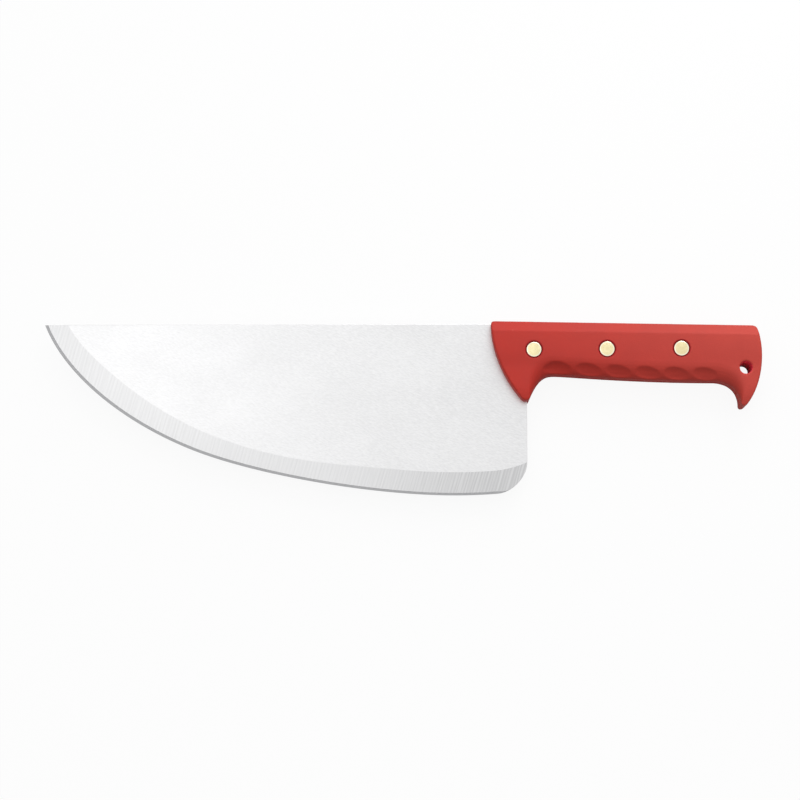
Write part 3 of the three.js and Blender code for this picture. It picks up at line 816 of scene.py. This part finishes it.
@dataclass
class HandleScale:
    """One moulded half of the handle, with its guard, scallops and hook."""

    side: Side
    slot: str = "handle_red"
    voxel: float = 0.4 * MM
    smooth_factor: float = 0.5
    smooth_rounds: int = 10
    crown: float = 0.4 * MM
    crown_reach: float = 10.0 * MM
    crown_row: str = "middle_rivet_stem"
    lean: tuple[Spot, ...] = ((-3.0 * MM, 0.0), (0.0, 2.2 * MM), (8.2 * MM, -2.2 * MM), (9.4 * MM, 0.0))
    push_most: float = 3.0 * MM
    skin_from: float = 2.5 * MM
    fill: tuple[Spot, ...] = ((0.5 * MM, 0.0), (2.5 * MM, 0.22), (8.2 * MM, 0.22), (9.4 * MM, 0.0))
    lean_start: float = 4.0 * MM
    lean_fade: float = 8.0 * MM

    def build(
        self,
        frame: dict[str, Any],
        plastic: bpy.types.Material,
        grip: Sequence[Sequence[float]],
    ) -> bpy.types.Object:
        """Builds and dresses the scale.

        Args:
            frame: The loaded frame.
            plastic: The handle's material.
            grip: The lowest and highest corners of the gap for the fingers.

        Returns:
            The scale.
        """
        node = self.side.value
        piece = Bench.copy_of(frame["nodes"][node], f"moulded_{node}")
        Bench.apply(piece, "REMESH", {"mode": "VOXEL", "voxel_size": self.voxel})
        Bench.apply(piece, "SMOOTH", {"factor": self.smooth_factor, "iterations": self.smooth_rounds})
        self._shape_scallops(piece, grip[0][0], grip[1][0])
        self._crown_face(piece)
        piece.data.materials.append(plastic)
        Bench.hold(piece)
        bpy.ops.object.shade_smooth()
        Bench.hand_over(piece, node, self.slot)
        return piece

    def _shape_scallops(self, piece: bpy.types.Object, front: float, rear: float) -> None:
        """Fills the scallops a little and leans them, so that the ridges between them slant.

        Args:
            piece: The scale.
            front: Where the gap for the fingers starts.
            rear: Where the gap for the fingers ends.
        """
        full = (front + self.lean_start + self.lean_fade, rear - self.lean_fade)
        window = ((front + self.lean_start, 0.0), (full[0], 1.0), (full[1], 1.0), (rear, 0.0))
        edge = [(x, self._belly(piece, x)) for x in full]
        slope = (edge[1][1] - edge[0][1]) / (edge[1][0] - edge[0][0])
        points = [vert.co for vert in piece.data.vertices]
        heights = [point.y - edge[0][1] - slope * (point.x - edge[0][0]) for point in points]
        insides = [along(window, point.x) for point in points]
        leans = [along(self.lean, height) * inside for height, inside in zip(heights, insides)]
        shares = [along(self.fill, height) * inside for height, inside in zip(heights, insides)]
        self._push(piece, "Z", self._fills(points, heights, shares))
        self._push(piece, "X", leans)

    def _fills(self, points: list[Vector], heights: list[float], shares: list[float]) -> list[float]:
        """How far the scallops are filled up towards the ridges between them.

        Args:
            points: The scale's points.
            heights: How high each point is above the grip's lower edge.
            shares: How much each point takes part.

        Returns:
            The move of each point along z, in metres.
        """
        inner, outer = self._faces()
        ridge: dict[int, float] = {}
        for point, height, share in zip(points, heights, shares):
            if share > 0.0 and abs(point.z - inner) > self.skin_from:
                key = math.ceil(height / self.voxel)
                drop = abs(outer - point.z)
                ridge[key] = min(ridge.get(key, drop), drop)
        plain = [(key * self.voxel, ridge[key]) for key in sorted(ridge)]
        fills = []
        for point, height, share in zip(points, heights, shares):
            fill = 0.0
            if share > 0.0 and abs(point.z - inner) > self.skin_from:
                fill = share * max(0.0, abs(outer - point.z) - along(plain, height))
            fills.append(math.copysign(fill, outer - inner))
        return fills

    def _push(self, piece: bpy.types.Object, direction: str, pushes: list[float]) -> None:
        """Moves each point of the scale along an axis.

        Args:
            piece: The scale.
            direction: The axis.
            pushes: How far each point moves, in metres.
        """
        for way in (1.0, -1.0):
            group = piece.vertex_groups.new(name="push")
            for index, push in enumerate(pushes):
                group.add([index], max(0.0, way * push / self.push_most), "REPLACE")
            settings = {"direction": direction, "mid_level": 0.0, "strength": way * self.push_most}
            Bench.apply(piece, "DISPLACE", {**settings, "vertex_group": group.name})
            piece.vertex_groups.clear()

    def _faces(self) -> tuple[float, float]:
        """The heights of the scale's inner and outer faces."""
        low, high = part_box(self.side.value)
        return (low.z, high.z) if self.side is Side.LEFT else (high.z, low.z)

    def _belly(self, piece: bpy.types.Object, x: float) -> float:
        """The height of the grip's lower edge.

        Args:
            piece: The scale.
            x: Where along the grip it is measured.

        Returns:
            The lowest y there.
        """
        return min(vert.co.y for vert in piece.data.vertices if abs(vert.co.x - x) < self.voxel)

    def _crown_face(self, piece: bpy.types.Object) -> None:
        """Crowns the outer face a little, highest along the row of rivets.

        Args:
            piece: The scale.
        """
        inner, outer = self._faces()
        row = sum(corner.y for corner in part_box(self.crown_row)) / 2
        drop = math.copysign(self.crown, inner - outer)
        drops = []
        for vert in piece.data.vertices:
            off = (vert.co.y - row) / self.crown_reach
            lift = (vert.co.z - inner) / (outer - inner)
            drops.append(drop * lift * self._fall(off))
        self._push(piece, "Z", drops)

    @staticmethod
    def _fall(off: float) -> float:
        """How far the crowned face falls away from the row of rivets.

        Args:
            off: The distance from the row towards the spine, in crown reaches.

        Returns:
            The fall, in crown heights. Above the row it goes on. Below, it levels out at one reach.
        """
        if off > 1.0:
            return 2.0 * off - 1.0
        near = max(off, -1.0) ** 2
        return near if off > 0.0 else near * (2.0 - near)


@dataclass
class Rivet:
    """One cutler's rivet: a half with a stem and a half with the tube that takes it."""

    place: RivetPlace
    darkening: float = 0.0
    slot: str = "rivet_brass"
    sides: int = 72
    head_radius: float = 4.0 * MM
    head_thickness: float = 1.6 * MM
    rim_round: float = 0.4 * MM
    stem_radius: float = 1.6 * MM
    stem_chamfer: float = 0.5 * MM
    tube_radius: float = 2.5 * MM
    bore_radius: float = 1.7 * MM
    crease: float = math.radians(30.0)
    level: float = 0.9

    def build(self) -> list[bpy.types.Object]:
        """Builds and dresses both halves.

        Returns:
            The half with the stem and the half with the tube.
        """
        axis = self.axis()
        brass = RivetBrass(f"{self.place.value}_rivet_brass", axis, self.darkening).material()
        halves = []
        for half in RivetHalf:
            node = self._node(half)
            piece = self._half(half, axis)
            piece.name = f"brass_{node}"
            piece.data.materials.append(brass)
            Bench.hold(piece)
            bpy.ops.object.shade_smooth_by_angle(angle=self.crease)
            Bench.hand_over(piece, node, self.slot)
            halves.append(piece)
        return halves

    def axis(self) -> Spot:
        """Where the rivet's axis is, in x and y."""
        return middle_of(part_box(self._node(RivetHalf.STEM)))

    def _node(self, half: RivetHalf) -> str:
        """The name of a half's node."""
        return f"{self.place.value}_{half.value}"

    def _half(self, half: RivetHalf, axis: Spot) -> bpy.types.Object:
        """Models one half: its head, then its shank.

        Args:
            half: Which half it is.
            axis: Where the rivet's axis is, in x and y.

        Returns:
            The half, at the origin with its place in its mesh.
        """
        low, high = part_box(self._node(half))
        up = half is RivetHalf.SOCKET
        outer = low.z if up else high.z
        seat = outer + self.head_thickness if up else outer - self.head_thickness
        end = high.z if up else low.z
        Bench.deselect()
        bpy.ops.mesh.primitive_cylinder_add(
            vertices=self.sides,
            radius=self.head_radius,
            depth=self.head_thickness,
            location=(*axis, (outer + seat) / 2),
        )
        piece = bpy.context.active_object
        bpy.ops.object.transform_apply(location=True, rotation=True, scale=True)
        with Bench.editing(piece):
            self._at_height(piece, seat)
            shank = self.tube_radius if up else self.stem_radius
            bpy.ops.mesh.inset(thickness=self.head_radius - shank)
            self._extrude(end - seat)
            if up:
                bpy.ops.mesh.inset(thickness=self.tube_radius - self.bore_radius)
                self._extrude(seat - end)
            else:
                self._break_rim(piece, end, self.stem_chamfer, 1)
            self._break_rim(piece, outer, self.rim_round, 4)
        return piece

    def _at_height(self, piece: bpy.types.Object, height: float) -> None:
        """Selects the level face at a height."""

        def wanted(face: bmesh.types.BMFace) -> bool:
            """Tests whether a face is level and at that height."""
            off = abs(face.calc_center_median().z - height)
            return abs(face.normal.z) > self.level and off < SAME_HEIGHT

        Bench.pick_faces(piece, wanted)

    def _extrude(self, rise: float) -> None:
        """Extrudes the selected face straight up, or down if the rise is negative."""
        bpy.ops.mesh.extrude_region_move(TRANSFORM_OT_translate={"value": (0.0, 0.0, rise)})

    def _break_rim(self, piece: bpy.types.Object, height: float, size: float, segments: int) -> None:
        """Rounds the rim of the level face at a height.

        Args:
            piece: The half that is open in edit mode.
            height: The height of the rim.
            size: How far the rounding reaches from the rim.
            segments: How many steps the rounding has.
        """

        def wanted(edge: bmesh.types.BMEdge) -> bool:
            """Tests whether an edge lies at that height."""
            return all(abs(vert.co.z - height) < SAME_HEIGHT for vert in edge.verts)

        Bench.pick_edges(piece, wanted)
        bpy.ops.mesh.bevel(offset=size, segments=segments, affect="EDGES", clamp_overlap=False)


@dataclass(frozen=True)
class Lamp:
    """One soft lamp."""

    name: str
    place: Place
    aim: Place
    size: Spot
    power: float

    def build(self) -> bpy.types.Object:
        """Builds the lamp and turns it to its aim."""
        light = bpy.data.lights.new(self.name, "AREA")
        light.shape = "RECTANGLE"
        light.size, light.size_y = self.size
        light.energy = self.power
        lamp = bpy.data.objects.new(self.name, light)
        lamp.location = self.place
        lamp.rotation_euler = (Vector(self.aim) - Vector(self.place)).to_track_quat("-Z", "Y").to_euler()
        bpy.context.scene.collection.objects.link(lamp)
        LOG.info("%s: %.1f W", self.name, self.power)
        return lamp


@dataclass
class Studio:
    """The floor, the soft light and the camera."""

    floor_size: float = 14.0
    aim: Place = (-0.0011, 0.00468, 0.010)
    distance: float = 1.26
    elevation: float = math.radians(81.6)
    lens: float = 107.45
    sensor: float = 36.0
    sky_level: float = 0.15
    sky_rise: float = 0.75
    sky_behind: float = 0.50
    sky_least: float = 0.05
    mirror_level: float = 0.60
    mirror_rise: float = 0.33
    mirror_behind: float = 0.08
    lamps: tuple[Lamp, ...] = (
        Lamp("key_lamp", (0.24, 0.58, 0.42), (0.10, 0.02, 0.0), (0.4, 0.4), 1.6),
        Lamp("back_lamp", (0.45, 1.15, 0.38), (0.12, 0.0, 0.0), (0.6, 0.25), 1.4),
        Lamp("overhead_lamp", (-0.42, 0.23, 1.35), (-0.15, 0.0, 0.0), (0.5, 0.6), 0.66),
    )

    def build(self) -> None:
        """Builds everything round the knife."""
        self._floor()
        self._sky()
        self._camera()
        for lamp in self.lamps:
            lamp.build()
        bpy.context.scene.view_settings.view_transform = "Standard"

    def _floor(self) -> None:
        """Lays the floor under the knife."""
        Bench.deselect()
        bpy.ops.mesh.primitive_plane_add(size=self.floor_size, location=(0.0, 0.0, 0.0))
        floor = bpy.context.active_object
        floor.name = "floor"
        floor.data.materials.append(PaleFloor().material())
        LOG.info("floor: %.1f m", self.floor_size)

    def _sky(self) -> None:
        """Lights the room with a soft dome, seen as white and mirrored as a more even one."""
        world = bpy.data.worlds.new("studio")
        world.use_nodes = True
        bpy.context.scene.world = world
        graph = Graph(world.node_tree)
        towards = graph.node("ShaderNodeTexCoord").outputs["Generated"]
        parts = graph.node("ShaderNodeSeparateXYZ", inputs={0: towards})
        behind = Signal(graph, parts.outputs[1])
        above = Signal(graph, parts.outputs[2])
        slope = above * self.sky_rise + behind * self.sky_behind
        lit = graph.math("MAXIMUM", self.sky_level + slope, self.sky_least)
        pale = self.mirror_level + above * self.mirror_rise + behind * self.mirror_behind
        direct, mirrored = graph.seen()
        level = lit * (1.0 - mirrored) + pale * mirrored
        level = level * (1.0 - direct) + direct
        inputs = {"Color": (1.0, 1.0, 1.0, 1.0), "Strength": level}
        light = graph.node("ShaderNodeBackground", inputs=inputs)
        graph.node("ShaderNodeOutputWorld", inputs={"Surface": light.outputs[0]})

    def _camera(self) -> None:
        """Sets the camera where the photograph was taken from."""
        data = bpy.data.cameras.new("camera")
        data.sensor_width = self.sensor
        data.lens = self.lens
        camera = bpy.data.objects.new("camera", data)
        back = Vector((0.0, -math.cos(self.elevation), math.sin(self.elevation)))
        camera.location = Vector(self.aim) + back * self.distance
        camera.rotation_euler = (math.radians(90.0) - self.elevation, 0.0, 0.0)
        bpy.context.scene.collection.objects.link(camera)
        bpy.context.scene.camera = camera


def main() -> None:
    """Builds the knife and its studio."""
    logging.basicConfig(level=logging.INFO, format="%(name)s %(message)s")
    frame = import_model()
    Studio().build()
    Blade().build(frame)
    rivets = [Rivet(place, darkening) for place, darkening in RIVET_DARKENING.items()]
    openings = {opening["name"]: opening for opening in frame["record"]["physics"]["openings"]}
    hole = middle_of(openings[HANGING_HOLE]["box_m"])
    plastic = MouldedPlastic(tuple(rivet.axis() for rivet in rivets), hole).material()
    for side in Side:
        HandleScale(side).build(frame, plastic, openings[FINGER_GAP]["box_m"])
    for rivet in rivets:
        rivet.build()


if __name__ == "__main__":
    main()
